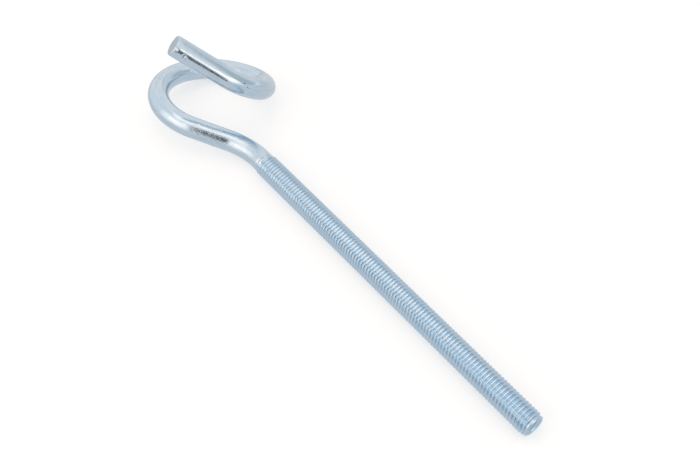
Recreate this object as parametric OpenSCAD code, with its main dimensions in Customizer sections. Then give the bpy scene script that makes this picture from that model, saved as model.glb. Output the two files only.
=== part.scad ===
// Pigtail screw hook, bent from one length of round wire.
// Its shank is threaded, and its other end is bent into an open loop that rises out of its own plane,
// so that a ring, a rope or a cable eye can be laid in from the side and can't slip off.
// The shank lies along Y with the loop at +Y. The origin is on the shank's axis, at the upper end of
// the full thread. The hook lies as it comes to rest on a level floor: on its thread and its loop.

/* [Wire] */
// Diameter of the plain wire, which is also the blank that the thread is rolled on
wire_d = 7.1; // [4:0.1:12]
// Rounding of the sheared edge at the loop's free end
tail_edge_r = 0.35; // [0.1:0.05:1]

/* [Thread] */
// Pitch of the thread
thread_pitch = 1.25; // [0.7:0.05:2]
// Turns of full thread along the shank
full_turns = 101; // [20:1:160]
// Height of the thread's crests above the plain wire
crest_rise = 0.35; // [0.2:0.05:0.8]
// Turns over which the thread runs out towards the loop
runout_turns = 1; // [0.5:0.25:3]
// Height of the first ridge where the runout ends
runout_step = 0.1; // [0.05:0.05:0.2]
// Turns over which the thread fades away towards the tip
lead_turns = 1.25; // [0.5:0.25:3]
// Length of the plain stub past the thread at the tip, its chamfer included
stub_len = 0.8; // [0.6:0.05:3]
// Chamfer of the tip's edge
tip_chamfer = 0.3; // [0.1:0.05:0.5]

/* [Loop] */
// Length of the straight neck between the thread and the first bend
neck_len = 2.5; // [1:0.5:20]
// Bend radius of the first bend, at the wire's centre line
neck_bend_r = 20; // [10:0.5:40]
// Angle of the first bend, away from the loop, in degrees
neck_bend_turn = 39; // [10:1:60]
// Length of the straight wire between the two bends
side_len = 12.5; // [2:0.5:30]
// Bend radius of the loop, at the wire's centre line
loop_r = 17.6; // [12:0.1:30]
// Angle that the loop turns through, in degrees
loop_turn = 340; // [270:5:350]
// Slope at which the wire climbs out of the loop's plane by the loop's end, in degrees
loop_climb = 23; // [20:1:35]
// Length of the straight tail after the loop
tail_len = 20; // [5:0.5:40]

/* [Hidden] */
wire_r = wire_d / 2;
thread_r = wire_r + crest_rise;
full_len = full_turns * thread_pitch;
runout_len = runout_turns * thread_pitch;
lead_len = lead_turns * thread_pitch;
// Depth to which the plain wire is carried down inside the threaded shank
core_depth = runout_len + 2;
// Facets around the wire, and degrees of bend between two rings of facets
WIRE_SIDES = 24;
RING_TURN = 5;
// Degrees between the rings of the rounded sheared edge
EDGE_TURN = 30;
ROUND_FN = 96;
PLATED_STEEL = [0.70, 0.77, 0.83];

// Direction of the wire at a heading, turned from +Y towards +X, and a climb out of the XY plane
function way(heading, climb) =
    [sin(heading) * cos(climb), cos(heading) * cos(climb), sin(climb)];

// A straight run of wire, as a list of one chord: its length, its turn and its gain in climb
function straight(length) = [[length, 0, 0]];

// A bend, as a list of equal chords of its arc. A negative turn bends towards -X.
function bend(radius, turn, climb) =
    let (count = ceil(abs(turn) / RING_TURN), half = abs(turn) / count / 2)
    [for (i = [1:count]) [2 * radius * sin(half), turn / count, climb / count]];

chords = concat(
    straight(core_depth + neck_len),
    bend(neck_bend_r, -neck_bend_turn, 0),
    straight(side_len),
    bend(loop_r, loop_turn, loop_climb),
    straight(tail_len - tail_edge_r)
);

// Stations along the centre line, each with its place, heading and climb
stations = [
    for (
        i = 0, at = [0, runout_len - core_depth, 0], heading = 0, climb = 0;
        i <= len(chords);
        at = i < len(chords) ? at + chords[i][0]
            * way(heading + chords[i][1] / 2, climb + chords[i][2] / 2) : at,
        heading = i < len(chords) ? heading + chords[i][1] : heading,
        climb = i < len(chords) ? climb + chords[i][2] : climb,
        i = i + 1
    ) [at, heading, climb]
];
tail_start = stations[len(stations) - 1];

// Turns the hook about the shank's axis until the lowest side of the loop touches the floor that the
// thread lies on. Only the loop's stations on the +X side can come down to it.
lie_turn = min([
    for (s = stations) if (s[0].x > wire_r)
        let (reach = norm([s[0].x, s[0].z]))
        asin(crest_rise / reach) + atan2(s[0].z, s[0].x)
]);

// One ring of points around the centre line, square to the wire
function ring(at, heading, climb, radius) =
    let (across = [cos(heading), -sin(heading), 0], up = cross(across, way(heading, climb)))
    [for (k = [0:WIRE_SIDES - 1])
        at + radius * (cos(k * 360 / WIRE_SIDES) * across + sin(k * 360 / WIRE_SIDES) * up)];

// Closed tube through rings that all have the same number of points
module tube(rings) {
    sides = len(rings[0]);
    last = (len(rings) - 1) * sides;
    polyhedron(
        points = [for (r = rings) each r],
        faces = concat(
            [[for (k = [0:sides - 1]) sides - 1 - k]],
            [[for (k = [0:sides - 1]) last + k]],
            [for (base = [0:sides:last - sides], k = [0:sides - 1])
                [base + k, base + (k + 1) % sides, base + sides + k]],
            [for (base = [0:sides:last - sides], k = [0:sides - 1])
                [base + (k + 1) % sides, base + sides + (k + 1) % sides, base + sides + k]]
        )
    );
}

// Neck, S bend, loop and tail, with the sheared edge rounded by a few smaller rings
module bent_wire() {
    tail_way = way(tail_start[1], tail_start[2]);
    edge = [
        for (a = [EDGE_TURN:EDGE_TURN:90])
            ring(tail_start[0] + tail_edge_r * sin(a) * tail_way, tail_start[1], tail_start[2],
                wire_r - tail_edge_r * (1 - cos(a)))
    ];
    tube(concat([for (s = stations) ring(s[0], s[1], s[2], wire_r)], edge));
}

// Threaded shank at its crest diameter, with its runout, its faded lead and its chamfered stub
module threaded_shank() {
    stub_end = full_len + lead_len + stub_len;
    rotate([90, 0, 0])
        rotate_extrude($fn = ROUND_FN)
            polygon([
                [0, -runout_len],
                [wire_r + runout_step, -runout_len],
                [thread_r, 0],
                [thread_r, full_len],
                [wire_r, full_len + lead_len],
                [wire_r, stub_end - tip_chamfer],
                [wire_r - tip_chamfer, stub_end],
                [0, stub_end]
            ]);
}

module screw_hook() {
    color(PLATED_STEEL)
        rotate([0, lie_turn, 0]) {
            threaded_shank();
            bent_wire();
        }
}

screw_hook();
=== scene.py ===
"""Looks of the pigtail screw hook: the rolled thread, the bent wire and their zinc plating."""

import math

import bmesh
import bpy
import numpy as np
from mathutils import Euler, Matrix, Vector


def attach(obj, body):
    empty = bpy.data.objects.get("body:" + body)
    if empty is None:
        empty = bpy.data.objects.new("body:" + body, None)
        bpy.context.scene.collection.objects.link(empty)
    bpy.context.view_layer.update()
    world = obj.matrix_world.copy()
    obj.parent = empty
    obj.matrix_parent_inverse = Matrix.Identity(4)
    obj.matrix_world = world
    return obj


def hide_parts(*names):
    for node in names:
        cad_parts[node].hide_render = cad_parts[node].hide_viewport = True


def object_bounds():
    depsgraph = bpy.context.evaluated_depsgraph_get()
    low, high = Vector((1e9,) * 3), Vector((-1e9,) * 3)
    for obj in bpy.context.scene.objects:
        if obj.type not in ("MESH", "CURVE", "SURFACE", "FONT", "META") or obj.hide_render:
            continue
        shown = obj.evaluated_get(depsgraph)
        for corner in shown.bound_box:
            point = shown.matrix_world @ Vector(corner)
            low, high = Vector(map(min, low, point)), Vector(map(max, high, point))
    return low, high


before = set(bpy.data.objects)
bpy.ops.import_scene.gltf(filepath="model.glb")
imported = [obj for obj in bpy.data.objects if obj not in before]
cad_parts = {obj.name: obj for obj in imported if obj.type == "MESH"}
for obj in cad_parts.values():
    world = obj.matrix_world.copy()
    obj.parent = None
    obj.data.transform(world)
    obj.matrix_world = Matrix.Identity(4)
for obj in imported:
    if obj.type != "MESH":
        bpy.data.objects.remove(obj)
cad_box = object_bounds()

MM = 0.001

# Driving sizes of the wire, the thread and the bends, as in the part's source
WIRE_R = 3.55 * MM
CREST_R = 3.9 * MM
PITCH = 1.25 * MM
FULL_TURNS = 101
RUNOUT_TURNS = 1.0
LEAD_TURNS = 1.25
STUB = 0.8 * MM
TIP_CHAMFER = 0.3 * MM
TAIL_EDGE_R = 0.35 * MM
NECK = 2.5 * MM
NECK_BEND_R = 20 * MM
NECK_BEND_TURN = math.radians(39)
SIDE = 12.5 * MM
LOOP_R = 17.6 * MM
LOOP_TURN = math.radians(340)
LOOP_CLIMB = math.radians(23)
TAIL = 20 * MM
# Root of the standard thread of this pitch. The source leaves the thread's form to this script.
ROOT_R = 3.24 * MM

# Places along the shank that follow from them
THREAD_TOP = RUNOUT_TURNS * PITCH
FULL_END = -FULL_TURNS * PITCH
LEAD_END = FULL_END - LEAD_TURNS * PITCH
TIP = LEAD_END - STUB
# The thread's strip starts just above the tip's chamfer and ends just short of the thread's top
THREAD_FOOT = TIP + TIP_CHAMFER + 0.1 * MM
THREAD_LAST = THREAD_TOP - 0.05 * MM
# Plain rings that close the strip's two borders
RING_BELOW_THREAD = THREAD_FOOT - 0.04 * MM
RING_ABOVE_THREAD = THREAD_TOP + 0.1 * MM

# The sheared tip leans by a few degrees. Its short side is at this angle around the shank, and the
# last turns of the thread lean with it over this length.
TIP_LEAN = math.tan(math.radians(8.5))
TIP_SHORT_SIDE = math.radians(-41.7)
LEAN_LENGTH = 5 * MM
# Rings of the tip, as a radius and a height over its face: the chamfer and the rim, then the cup
# that rolling leaves in the face
TIP_FACE_R = WIRE_R - TIP_CHAMFER
TIP_EDGE_RINGS = (
    (WIRE_R - 0.02 * MM, TIP_CHAMFER + 0.04 * MM),
    (WIRE_R - 0.35 * TIP_CHAMFER, 0.5 * TIP_CHAMFER),
    (TIP_FACE_R, 0.05 * MM),
    (TIP_FACE_R - 0.1 * MM, 0.0),
)
CUP_DEPTH = 0.79 * MM
TIP_CUP_RINGS = (
    (TIP_FACE_R - 0.25 * MM, 0.04 * MM),
    (TIP_FACE_R - 0.5 * MM, 0.26 * MM),
    (TIP_FACE_R - 0.8 * MM, 0.6 * MM),
    (TIP_FACE_R - 1.05 * MM, 0.74 * MM),
    (TIP_FACE_R * 0.5, 0.78 * MM),
    (TIP_FACE_R * 0.2, CUP_DEPTH),
)

# Segments around the wire, the bend between two rings, and the steps of the straight lengths
SIDES = 48
RING_TURN = math.radians(3)
NECK_STEPS = 3
SIDE_STEPS = 8
TAIL_STEPS = 12
# Rings of the tail's end: angles around its rounded edge, then shares of its face's radius
TAIL_EDGE_ANGLES = (30, 60, 90)
TAIL_FACE_SHARES = (0.8, 0.5, 0.2)

# One turn of the thread from root to root: share of the pitch, and share of the height root to crest.
# Two points close together end each flank, so that smooth shading leaves the flanks flat.
THREAD_PROFILE = (
    (0.0, 0.0), (0.05, 0.0), (0.095, 0.03), (0.125, 0.09), (0.395, 0.91), (0.42, 0.96),
    (0.455, 0.99), (0.5, 1.0), (0.545, 0.99), (0.58, 0.96), (0.605, 0.91), (0.875, 0.09),
    (0.905, 0.03), (0.95, 0.0),
)
# Turns over which the ridge rises at the tip, and over which it ends at the loop
THREAD_RISE = 0.35
THREAD_END = 0.35
# Where the thread's root passes the level of the origin, as a share of a turn around the shank
THREAD_PHASE = 0.76


def smooth(x):
    """Rises smoothly from 0 to 1 as x does."""
    x = np.clip(x, 0.0, 1.0)
    return x * x * (3.0 - 2.0 * x)


def way(heading, climb):
    """Direction of the wire at a heading from +Y towards +X and a climb out of the XY plane."""
    return np.array([
        math.sin(heading) * math.cos(climb),
        math.cos(heading) * math.cos(climb),
        math.sin(climb),
    ])


def centre_line():
    """Stations of the bent wire above the thread: place, heading, climb and place along the wire."""
    at, heading, climb, along = np.array([0.0, THREAD_TOP, 0.0]), 0.0, 0.0, THREAD_TOP
    stations = [(at, heading, climb, along)]

    def run(length, turn, gain, chord):
        nonlocal at, heading, climb, along
        at = at + chord * way(heading + turn / 2, climb + gain / 2)
        heading, climb, along = heading + turn, climb + gain, along + length
        stations.append((at, heading, climb, along))

    def straight(length, count):
        for _ in range(count):
            run(length / count, 0.0, 0.0, length / count)

    def bend(radius, turn, gain):
        count = math.ceil(abs(turn) / RING_TURN)
        half = abs(turn) / count / 2
        for _ in range(count):
            run(2 * radius * half, turn / count, gain / count, 2 * radius * math.sin(half))

    straight(NECK, NECK_STEPS)
    bend(NECK_BEND_R, -NECK_BEND_TURN, 0.0)
    straight(SIDE, SIDE_STEPS)
    bend(LOOP_R, LOOP_TURN, LOOP_CLIMB)
    straight(TAIL - TAIL_EDGE_R, TAIL_STEPS)
    return stations


def lie_turn(stations):
    """Turn about the shank that brings the loop down to the floor that the thread lies on."""
    turns = []
    for at, _, _, _ in stations:
        if at[0] > WIRE_R:
            reach = math.hypot(at[0], at[2])
            turns.append(math.asin((CREST_R - WIRE_R) / reach) + math.atan2(at[2], at[0]))
    return min(turns)


def thread_height(turn, turns):
    """Share of the full thread along its winding: it rises at the tip and ends short at the loop."""
    return float(smooth(turn / THREAD_RISE) * smooth((turns - turn) / THREAD_END))


class Skin:
    """Collects the hook's points and faces.

    Each point also has the wire's own coordinates, which are around it and along it, and a valley
    value, which is 1 at the thread's root and in the tip's cup, where it paints shade. Each face may
    be marked as cut.
    """

    def __init__(self):
        self.points = []
        self.wire = []
        self.valley = []
        self.faces = []
        self.cuts = []

    def add(self, point, angle, along, valley=0.0):
        self.points.append(point)
        self.wire.append((math.cos(angle), math.sin(angle), along))
        self.valley.append(valley)
        return len(self.points) - 1

    def shank_point(self, angle, y, radius, valley=0.0):
        """Point of the straight shank, which leans with the tip."""
        lean = TIP_LEAN * (WIRE_R + radius * math.cos(angle - TIP_SHORT_SIDE))
        y += lean * float(smooth((TIP + LEAN_LENGTH - y) / LEAN_LENGTH))
        return self.add((radius * math.cos(angle), y, radius * math.sin(angle)), angle, y, valley)

    def face(self, *corners, cut=False):
        self.faces.append(corners)
        self.cuts.append(cut)

    def bridge(self, low, high, cut=False):
        """Band of faces between two rings."""
        for j in range(SIDES):
            k = (j + 1) % SIDES
            self.face(low[j], low[k], high[k], high[j], cut=cut)

    def close(self, ring, centre):
        """Cut fan of faces from a ring to its centre."""
        for j in range(SIDES):
            self.face(ring[j], ring[(j + 1) % SIDES], centre, cut=True)


def ring_angles(turn):
    """Angles of a plain ring, half a segment away from the thread's columns, which pass at a turn."""
    return [-2 * math.pi * ((j + 0.5) / SIDES + turn) for j in range(SIDES)]


def add_thread(skin):
    """Right-hand thread as one strip that winds up the shank.

    Returns its lower and its upper border: the winding edge, the step where the strip ends and the
    turn that it ends at.
    """
    steps = len(THREAD_PROFILE)
    start = THREAD_PHASE + THREAD_FOOT / PITCH
    columns = int((THREAD_LAST - THREAD_FOOT - PITCH) / PITCH * SIDES)
    turns = columns / SIDES

    def place(j, k):
        turn = j / SIDES
        share, height = THREAD_PROFILE[k % steps]
        y = THREAD_FOOT + PITCH * (turn + (k // steps) + share)
        full = thread_height(turn, turns)
        radius = WIRE_R + (ROOT_R + (CREST_R - ROOT_R) * height - WIRE_R) * full
        # The valley value, 1 at the root, places the painted shade in the thread's valleys.
        return skin.shank_point(-2 * math.pi * (turn + start), y, radius, (1 - height) * full)

    grid = [[place(j, k) for k in range(steps)] for j in range(columns + 1)]
    rim = {columns - SIDES: grid[columns][0]}
    for j in range(columns - SIDES + 1, columns + 1):
        rim[j] = place(j, steps)

    def corner(j, k):
        if k < steps:
            return grid[j][k]
        return grid[j + SIDES][0] if j + SIDES <= columns else rim[j]

    for j in range(columns):
        for k in range(steps):
            skin.face(corner(j, k), corner(j + 1, k), corner(j + 1, k + 1), corner(j, k + 1))
    low_edge = [corner(j, 0) for j in range(SIDES + 1)]
    low_step = [corner(0, k) for k in range(steps + 1)]
    high_edge = [corner(columns - SIDES + j, steps) for j in range(SIDES + 1)]
    high_step = [corner(columns, k) for k in range(steps + 1)]
    return (low_edge, low_step, start), (high_edge, high_step, start + turns)


def close_border(skin, y, edge, step, turn):
    """Joins a plain ring to a winding border of the thread. Returns the ring and its angles."""
    angles = ring_angles(turn)
    ring = [skin.shank_point(a, y, WIRE_R) for a in angles]
    for j in range(SIDES):
        skin.face(ring[j], ring[(j + 1) % SIDES], edge[j + 1], edge[j])
    for k in range(len(step) - 1):
        skin.face(ring[0], step[k], step[k + 1])
    return ring, angles


def add_tip(skin, ring_above, angles):
    """Chamfered end of the shank, with the cup in its face."""
    above = ring_above
    # The cup's rings get a valley value of 1, for the painted shade in the cup.
    for rings, valley in ((TIP_EDGE_RINGS, 0.0), (TIP_CUP_RINGS, 1.0)):
        for radius, up in rings:
            ring = [skin.shank_point(a, TIP + up, radius, valley) for a in angles]
            skin.bridge(above, ring)
            above = ring
    skin.close(above, skin.shank_point(0.0, TIP + CUP_DEPTH, 0.0, 1.0))


def add_wire(skin, stations, ring_below, angles):
    """Plain wire through the bends to the sheared end, whose edge is slightly rounded."""

    def ring(at, heading, climb, along, radius):
        across = np.array([math.cos(heading), -math.sin(heading), 0.0])
        up = np.cross(across, way(heading, climb))
        return [
            skin.add(tuple(at + radius * (math.cos(a) * across + math.sin(a) * up)), a, along)
            for a in angles
        ]

    below = ring_below
    for station in stations:
        current = ring(*station, WIRE_R)
        skin.bridge(below, current)
        below = current

    at, heading, climb, along = stations[-1]
    direction = way(heading, climb)
    for degrees in TAIL_EDGE_ANGLES:
        a = math.radians(degrees)
        out = TAIL_EDGE_R * math.sin(a)
        inwards = TAIL_EDGE_R * (1 - math.cos(a))
        current = ring(at + out * direction, heading, climb, along + out, WIRE_R - inwards)
        skin.bridge(below, current)
        below = current

    end = at + TAIL_EDGE_R * direction
    along += TAIL_EDGE_R
    for share in TAIL_FACE_SHARES:
        current = ring(end, heading, climb, along, (WIRE_R - TAIL_EDGE_R) * share)
        skin.bridge(below, current, cut=True)
        below = current
    skin.close(below, skin.add(tuple(end), 0.0, along))


def face_outwards(obj):
    """Turns every face so that its front looks out of the solid."""
    bm = bmesh.new()
    bm.from_mesh(obj.data)
    bmesh.ops.recalc_face_normals(bm, faces=bm.faces)
    if bm.calc_volume(signed=True) < 0:
        bmesh.ops.reverse_faces(bm, faces=bm.faces)
    bm.to_mesh(obj.data)
    bm.free()


def hook_object():
    """The whole hook as one closed mesh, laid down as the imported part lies."""
    skin = Skin()
    stations = centre_line()
    low_border, high_border = add_thread(skin)
    add_tip(skin, *close_border(skin, RING_BELOW_THREAD, *low_border))
    add_wire(skin, stations[1:], *close_border(skin, RING_ABOVE_THREAD, *high_border))

    mesh = bpy.data.meshes.new("screw_hook_skin")
    mesh.from_pydata(skin.points, [], skin.faces)
    mesh.transform(Matrix.Rotation(lie_turn(stations), 4, "Y"))
    mesh.materials.append(zinc())
    mesh.materials.append(sheared_face())
    mesh.polygons.foreach_set("use_smooth", [True] * len(mesh.polygons))
    mesh.polygons.foreach_set("material_index", [int(cut) for cut in skin.cuts])
    wire = mesh.attributes.new("wire", "FLOAT_VECTOR", "POINT")
    wire.data.foreach_set("vector", np.array(skin.wire, dtype=np.float32).ravel())
    valley = mesh.attributes.new("valley", "FLOAT", "POINT")
    valley.data.foreach_set("value", np.array(skin.valley, dtype=np.float32))
    mesh.update()
    obj = bpy.data.objects.new("hook_wire", mesh)
    bpy.context.collection.objects.link(obj)
    face_outwards(obj)
    return obj


class Graph:
    """Adds nodes to a material or to the world. A value is a number, a colour or a node's output."""

    def __init__(self, tree):
        self.nodes = tree.nodes
        self.links = tree.links

    def plug(self, value, socket):
        """Links an output to a socket, or sets the socket to a number or colour."""
        if isinstance(value, bpy.types.NodeSocket):
            self.links.new(value, socket)
        else:
            socket.default_value = value

    def add(self, kind, inputs=None, **settings):
        """Adds a node with its settings and its inputs, by name or number. Returns its outputs."""
        node = self.nodes.new(kind)
        for name, setting in settings.items():
            setattr(node, name, setting)
        for key, value in (inputs or {}).items():
            self.plug(value, node.inputs[key])
        return node.outputs

    def combined(self, operation, first, second):
        """Product, maximum or the like of two values."""
        return self.add("ShaderNodeMath", {0: first, 1: second}, operation=operation)[0]

    def largest(self, values):
        """The largest of some values."""
        total = values[0]
        for value in values[1:]:
            total = self.combined("MAXIMUM", total, value)
        return total

    def spread(self, value, low, high, to_low=0.0, to_high=1.0):
        """Maps a value from one range to another, clamped."""
        inputs = {"Value": value, "From Min": low, "From Max": high, "To Min": to_low, "To Max": to_high}
        return self.add("ShaderNodeMapRange", inputs)["Result"]

    def mixed(self, factor, low, high):
        """Mix of two colours. The node's colour sockets go by number, as others share their names."""
        return self.add("ShaderNodeMix", {"Factor": factor, 6: low, 7: high}, data_type="RGBA")[2]

    def mixed_number(self, factor, low, high):
        """Mix of two numbers, whose sockets go by number too."""
        return self.add("ShaderNodeMix", {"Factor": factor, 2: low, 3: high})[0]

    def noise(self, vector, scale=1.0, detail=2.0, roughness=0.5):
        """Noise over a vector output."""
        inputs = {"Vector": vector, "Scale": scale, "Detail": detail, "Roughness": roughness}
        return self.add("ShaderNodeTexNoise", inputs)["Fac"]

    def bump(self, height, strength, depth, normal=None):
        """Normal that a height bends, with a depth in metres, over a normal from before."""
        inputs = {"Height": height, "Strength": strength, "Distance": depth}
        if normal is not None:
            inputs["Normal"] = normal
        return self.add("ShaderNodeBump", inputs)["Normal"]

    def object_place(self):
        return self.add("ShaderNodeTexCoord")["Object"]

    def attribute(self, name):
        return self.add("ShaderNodeAttribute", attribute_name=name)

    def stretched(self, scale):
        """The wire's own coordinates, stretched: around the wire in X and Y, along it in Z."""
        inputs = {"Vector": self.attribute("wire")["Vector"], "Scale": scale}
        return self.add("ShaderNodeMapping", inputs)["Vector"]

    def along_wire(self, low, high, to_low, to_high):
        """A value that changes from one place along the wire to another."""
        parts = self.add("ShaderNodeSeparateXYZ", {"Vector": self.attribute("wire")["Vector"]})
        return self.spread(parts["Z"], low, high, to_low, to_high)

    def spots(self, place, places):
        """1 in a few small round spots, and 0 elsewhere."""
        masks = []
        for centre, radius in places:
            inputs = {0: place, 1: [c * MM for c in centre]}
            distance = self.add("ShaderNodeVectorMath", inputs, operation="DISTANCE")["Value"]
            masks.append(self.spread(distance, SPOT_CORE * radius * MM, radius * MM, 1.0, 0.0))
        return self.largest(masks)


# Colours of the plating: its streaks; painted shade, darker and bluer, in the thread's valleys and the tip's
# cup; dark spots of painted shade at the pits; and the cut end
PLATE_DEEP = (0.50, 0.65, 0.77, 1.0)
PLATE_PALE = (0.585, 0.705, 0.805, 1.0)
VALLEY_PAINTED_SHADE = (0.45, 0.63, 0.79, 1.0)
PIT_PAINTED_SHADE = (0.12, 0.15, 0.19, 1.0)
CUT_DEEP = (0.38, 0.47, 0.55, 1.0)
CUT_PALE = (0.52, 0.60, 0.66, 1.0)
# Scale of each pattern: around the wire in X and Y, per radius, and along it in Z, per metre
STREAKS = (3.5, 3.5, 210.0)
DRAWING_LINES = (10.0, 10.0, 650.0)
LONG_LINES = (16.0, 16.0, 70.0)
# Scale, per metre, of the patches in which the drawing lines are torn, and of the cut end's grain
TORN_SCALE = 110.0
GRAIN_SCALE = 900.0
# Depths of the bumps
LINE_DEPTH = 0.08 * MM
LONG_LINE_DEPTH = 0.03 * MM
DENT_DEPTH = 0.12 * MM
GRAIN_DEPTH = 0.06 * MM
# The rolled thread is rougher all over, but has hardly any lines
THREAD_ROUGHNESS = 0.17
THREAD_LINES = 0.12
THREAD_EDGE = (THREAD_TOP, THREAD_TOP + 0.3 * MM)
# The first bends are rougher than the loop and its tail: where that changes, and how much is left
BENDS_EASE = (30 * MM, 90 * MM)
TAIL_LINES = 0.6
# Small pits and nicks, drawn only as dark spots of painted shade with no depth: place of each, and its
# radius, in millimetres
PITS = (
    ((5.94, 18.09, 19.73), 0.34),
    ((6.49, 17.5, 18.1), 0.3),
    ((7.09, 17.36, 17.41), 0.24),
    ((-9.14, 49.83, 8.97), 0.24),
    ((-7.7, 31.71, 37.07), 0.24),
    ((-2.69, -4.85, 2.82), 0.34),
)
# Shallow dents across the tail, near its sheared end
DENTS = (
    ((-8.9, 27.5, 33.3), 0.8),
    ((-8.4, 27.2, 32.3), 0.6),
)
# Share of a spot's radius in which it is full
SPOT_CORE = 0.4


def new_material(name):
    """New material, its node graph and its shader's inputs."""
    material = bpy.data.materials.new(name)
    material.use_nodes = True
    graph = Graph(material.node_tree)
    return material, graph, graph.nodes["Principled BSDF"].inputs


def zinc_colour(graph, place):
    """Deep and pale streaks, with painted shade: darker blue in the thread's valleys and the tip's cup, and
    dark spots at the pits.
    """
    streaks = graph.noise(graph.stretched(STREAKS), detail=4.0, roughness=0.6)
    plate = graph.mixed(graph.spread(streaks, 0.36, 0.6), PLATE_DEEP, PLATE_PALE)
    # Painted shade: the valley value makes the thread's roots and the tip's cup darker and bluer.
    valley = graph.attribute("valley")["Fac"]
    plate = graph.mixed(graph.spread(valley, 0.05, 0.7), plate, VALLEY_PAINTED_SHADE)
    # Painted shade: dark spots stand for the shade in small pits, which have no depth.
    return graph.mixed(graph.spots(place, PITS), plate, PIT_PAINTED_SHADE)


def zinc_roughness(graph, drawn):
    """Roughness that follows the drawing lines on the wire, and is even on the thread."""
    wire = graph.spread(drawn, 0.3, 0.7, to_low=0.07, to_high=0.14)
    on_thread = graph.along_wire(*THREAD_EDGE, to_low=1.0, to_high=0.0)
    return graph.mixed_number(on_thread, wire, THREAD_ROUGHNESS)


def zinc_relief(graph, place, drawn):
    """Drawing lines that are torn in patches, longer fine lines, and the dents near the tail's end."""
    torn = graph.spread(graph.noise(place, TORN_SCALE), 0.42, 0.62, to_low=0.3)
    torn = graph.combined("MULTIPLY", torn, graph.along_wire(*THREAD_EDGE, to_low=THREAD_LINES, to_high=1.0))
    torn = graph.combined("MULTIPLY", torn, graph.along_wire(*BENDS_EASE, to_low=1.0, to_high=TAIL_LINES))
    normal = graph.bump(drawn, torn, LINE_DEPTH)
    long_lines = graph.noise(graph.stretched(LONG_LINES), detail=3.0)
    normal = graph.bump(long_lines, 0.2, LONG_LINE_DEPTH, normal)
    dents = graph.spread(graph.spots(place, DENTS), 0.0, 1.0, to_low=1.0, to_high=0.0)
    return graph.bump(dents, 0.8, DENT_DEPTH, normal)


def zinc():
    """Bright zinc plating with a blue cast over the wire and its thread."""
    material, graph, shader = new_material("bright_zinc")
    place = graph.object_place()
    drawn = graph.noise(graph.stretched(DRAWING_LINES), detail=5.0, roughness=0.62)
    graph.plug(1.0, shader["Metallic"])
    graph.plug(zinc_colour(graph, place), shader["Base Color"])
    graph.plug(zinc_roughness(graph, drawn), shader["Roughness"])
    graph.plug(zinc_relief(graph, place, drawn), shader["Normal"])
    return material


def sheared_face():
    """The cut end of the tail and the bottom of the tip's cup: the same plating, torn and duller."""
    material, graph, shader = new_material("sheared_zinc")
    grain = graph.noise(graph.object_place(), GRAIN_SCALE, detail=4.0)
    graph.plug(1.0, shader["Metallic"])
    graph.plug(graph.mixed(grain, CUT_DEEP, CUT_PALE), shader["Base Color"])
    graph.plug(graph.spread(grain, 0.3, 0.7, to_low=0.28, to_high=0.42), shader["Roughness"])
    graph.plug(graph.bump(grain, 0.4, GRAIN_DEPTH), shader["Normal"])
    return material


# Studio: a white floor and background, soft boxes, and cards that only the metal's gloss can see.
# Directions are an azimuth from +Y towards +X and an elevation, in degrees, and lengths are metres.
STUDIO_CENTRE = Vector((0.0, 0.0, 0.01))
FLOOR_LEVEL = cad_box[0][2]
FLOOR_SIZE = 8.0
FLOOR_GREY = (0.67, 0.67, 0.67, 1.0)
FLOOR_GLOW = 0.47
BLACK = (0.0, 0.0, 0.0, 1.0)
WHITE = (1.0, 1.0, 1.0, 1.0)
# The surroundings: their colour in the metal, and their strength where they only light
REFLECTED_WHITE = (1.0, 0.94, 0.91, 1.0)
WORLD_LIGHT = 0.74
# Rays that see the floor and the surroundings as a picture, rather than as light
SHOWN_RAYS = ("Is Camera Ray", "Is Glossy Ray", "Is Transmission Ray")

# Soft boxes: azimuth, elevation, distance, width, height and radiance
LAMP_COLOUR = (1.0, 0.74, 0.56)
SOFT_BOXES = (
    ("left_soft_box", -84, 33, 0.8, 0.98, 0.78, 0.25),
    ("left_middle", -85, 33, 0.8, 0.74, 0.56, 0.2),
    ("left_core", -88, 34, 0.8, 0.48, 0.4, 0.28),
    ("top_soft_box", -30, 86, 0.9, 0.6, 0.6, 0.5),
    ("near_soft_box", 167, 13, 0.8, 0.5, 0.26, 0.75),
)

# Upright curved cards: distance, rows of an elevation and the azimuths of both edges there, and tone
GAP_TONE = (0.05, 0.052, 0.055)
CARDS = (
    ("right_wall", 1.2, ((0, 96, 150), (15, 94, 150), (27, 96, 148), (33, 104, 140)), (0.63, 0.63, 0.64)),
    ("side_wall", 1.3, ((0, 52, 98), (20, 52, 98), (33, 60, 98)), (0.85, 0.82, 0.81)),
    ("blue_wall", 1.1, ((50, 50, 66), (62, 52, 76), (76, 55, 90)), (0.6, 0.74, 0.84)),
    (
        "camera_gap", 0.7,
        ((0, -168, -118), (15, -168, -119), (40, -166, -120), (56, -160, -127), (69, -155, -140)),
        GAP_TONE,
    ),
    (
        "camera_side", 0.66,
        ((0, -152, -127), (19, -165, -131), (45, -162, -139), (60, -158, -149)),
        (1.3, 1.2, 1.15),
    ),
)
CARD_STEPS = 8

# A level card just over the floor, whose reflection is duller than the white that the camera sees
TABLE_CARD_LIFT = 0.2 * MM
TABLE_CARD_HALF = 0.3
TABLE_CARD_TONE = (0.78, 0.76, 0.76)
# The dark gap's foot, just over that card: its corners by their reach and azimuth from a point
GAP_FOOT_LIFT = 0.4 * MM
GAP_FOOT_FROM = (-0.02, 0.03)
GAP_FOOT_CORNERS = ((0.155, -169), (0.155, -148), (0.7, -130), (0.7, -168))


def towards(azimuth, elevation):
    """Direction of an azimuth and an elevation."""
    a, e = math.radians(azimuth), math.radians(elevation)
    return Vector((math.sin(a) * math.cos(e), math.cos(a) * math.cos(e), math.sin(e)))


def shown(graph, rays):
    """1 for rays that see the floor and the surroundings as a picture, otherwise 0."""
    return graph.largest([rays[name] for name in SHOWN_RAYS])


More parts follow.
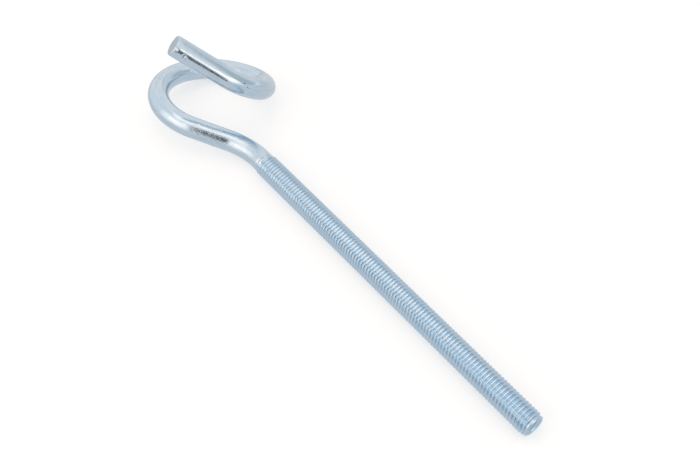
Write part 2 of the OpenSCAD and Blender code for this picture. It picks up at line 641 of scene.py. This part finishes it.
def white_world():
    """Even white surroundings: full white where they are seen, softer where they only light."""
    world = bpy.data.worlds.new("white_surroundings")
    world.use_nodes = True
    bpy.context.scene.world = world
    graph = Graph(world.node_tree)
    background = graph.nodes["Background"].inputs
    rays = graph.add("ShaderNodeLightPath")
    graph.plug(graph.mixed(rays["Is Glossy Ray"], WHITE, REFLECTED_WHITE), background["Color"])
    strength = graph.spread(shown(graph, rays), 0.0, 1.0, to_low=WORLD_LIGHT)
    graph.plug(strength, background["Strength"])


def floor():
    """Plain pale floor: seen as white, with the object's soft shadow kept."""
    bpy.ops.mesh.primitive_plane_add(size=FLOOR_SIZE, location=(0.0, 0.0, FLOOR_LEVEL))
    plane = bpy.context.object
    plane.name = "floor"
    material, graph, shader = new_material("white_floor")
    graph.plug(FLOOR_GREY, shader["Base Color"])
    graph.plug(0.9, shader["Roughness"])
    graph.plug(0.0, shader["Specular IOR Level"])
    graph.plug(WHITE, shader["Emission Color"])
    rays = graph.add("ShaderNodeLightPath")
    glow = graph.spread(shown(graph, rays), 0.0, 1.0, to_high=FLOOR_GLOW)
    graph.plug(glow, shader["Emission Strength"])
    plane.data.materials.append(material)


def soft_box(name, azimuth, elevation, distance, width, height, radiance):
    """Rectangular lamp of an even radiance that faces the object."""
    light = bpy.data.lights.new(name, "AREA")
    light.shape = "RECTANGLE"
    light.size, light.size_y = width, height
    light.energy = radiance * math.pi * width * height
    light.color = LAMP_COLOUR
    lamp = bpy.data.objects.new(name, light)
    out = towards(azimuth, elevation)
    lamp.location = STUDIO_CENTRE + out * distance
    lamp.rotation_euler = out.to_track_quat("Z", "Y").to_euler()
    bpy.context.collection.objects.link(lamp)
    lamp.visible_camera = False


def reflected(name, corners, faces, tone):
    """Sheet of one tone that only shows as a reflection in the metal."""
    mesh = bpy.data.meshes.new(name)
    mesh.from_pydata([tuple(corner) for corner in corners], [], faces)
    sheet = bpy.data.objects.new(name, mesh)
    bpy.context.collection.objects.link(sheet)
    material, graph, shader = new_material(name + "_tone")
    graph.plug(BLACK, shader["Base Color"])
    graph.plug(0.0, shader["Specular IOR Level"])
    graph.plug((*tone, 1.0), shader["Emission Color"])
    graph.plug(1.0, shader["Emission Strength"])
    mesh.materials.append(material)
    sheet.visible_camera = False
    sheet.visible_diffuse = False
    sheet.visible_shadow = False


def card(name, distance, rows, tone):
    """Upright curved card around the object."""
    corners = [
        STUDIO_CENTRE + distance * towards(first + (last - first) * k / CARD_STEPS, elevation)
        for elevation, first, last in rows
        for k in range(CARD_STEPS + 1)
    ]
    width = CARD_STEPS + 1
    faces = [
        (r * width + k, r * width + k + 1, (r + 1) * width + k + 1, (r + 1) * width + k)
        for r in range(len(rows) - 1)
        for k in range(CARD_STEPS)
    ]
    reflected(name, corners, faces, tone)


def table_card():
    level, half = FLOOR_LEVEL + TABLE_CARD_LIFT, TABLE_CARD_HALF
    corners = [(-half, -half, level), (half, -half, level), (half, half, level), (-half, half, level)]
    reflected("table_card", corners, [(0, 1, 2, 3)], TABLE_CARD_TONE)


def gap_foot():
    start = Vector((*GAP_FOOT_FROM, FLOOR_LEVEL + GAP_FOOT_LIFT))
    corners = [start + reach * towards(azimuth, 0.0) for reach, azimuth in GAP_FOOT_CORNERS]
    reflected("camera_gap_foot", corners, [(0, 1, 2, 3)], GAP_TONE)


def studio():
    """Everything around the object."""
    white_world()
    floor()
    for values in SOFT_BOXES:
        soft_box(*values)
    for values in CARDS:
        card(*values)
    table_card()
    gap_foot()


# Camera, where the fitted view of the photo has it. In degrees, it is turned about Z, looks down
# by its elevation and is rolled about the way that it looks.
CAMERA_AT = Vector((-140.16, -257.46, 290.89)) * MM
CAMERA_TURN = -33.488
CAMERA_ELEVATION = 48.211
CAMERA_ROLL = -4.338
CAMERA_LENS = 65.118
CAMERA_SHIFT = (0.0006, -0.0006)
SENSOR_WIDTH = 36.0
CLIP_START = 0.01


def camera():
    """The photo's view of the object."""
    data = bpy.data.cameras.new("camera")
    data.lens = CAMERA_LENS
    data.sensor_width = SENSOR_WIDTH
    data.sensor_fit = "HORIZONTAL"
    data.clip_start = CLIP_START
    data.shift_x, data.shift_y = CAMERA_SHIFT
    obj = bpy.data.objects.new("camera", data)
    turn = Euler((math.radians(90 - CAMERA_ELEVATION), 0.0, math.radians(CAMERA_TURN))).to_matrix()
    turn = turn @ Matrix.Rotation(math.radians(CAMERA_ROLL), 3, "Z")
    obj.matrix_world = Matrix.Translation(CAMERA_AT) @ turn.to_4x4()
    bpy.context.collection.objects.link(obj)
    bpy.context.scene.camera = obj


bpy.context.scene.view_settings.view_transform = "Standard"
camera()
studio()
hook = hook_object()
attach(hook, "root")
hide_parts("screw_hook")
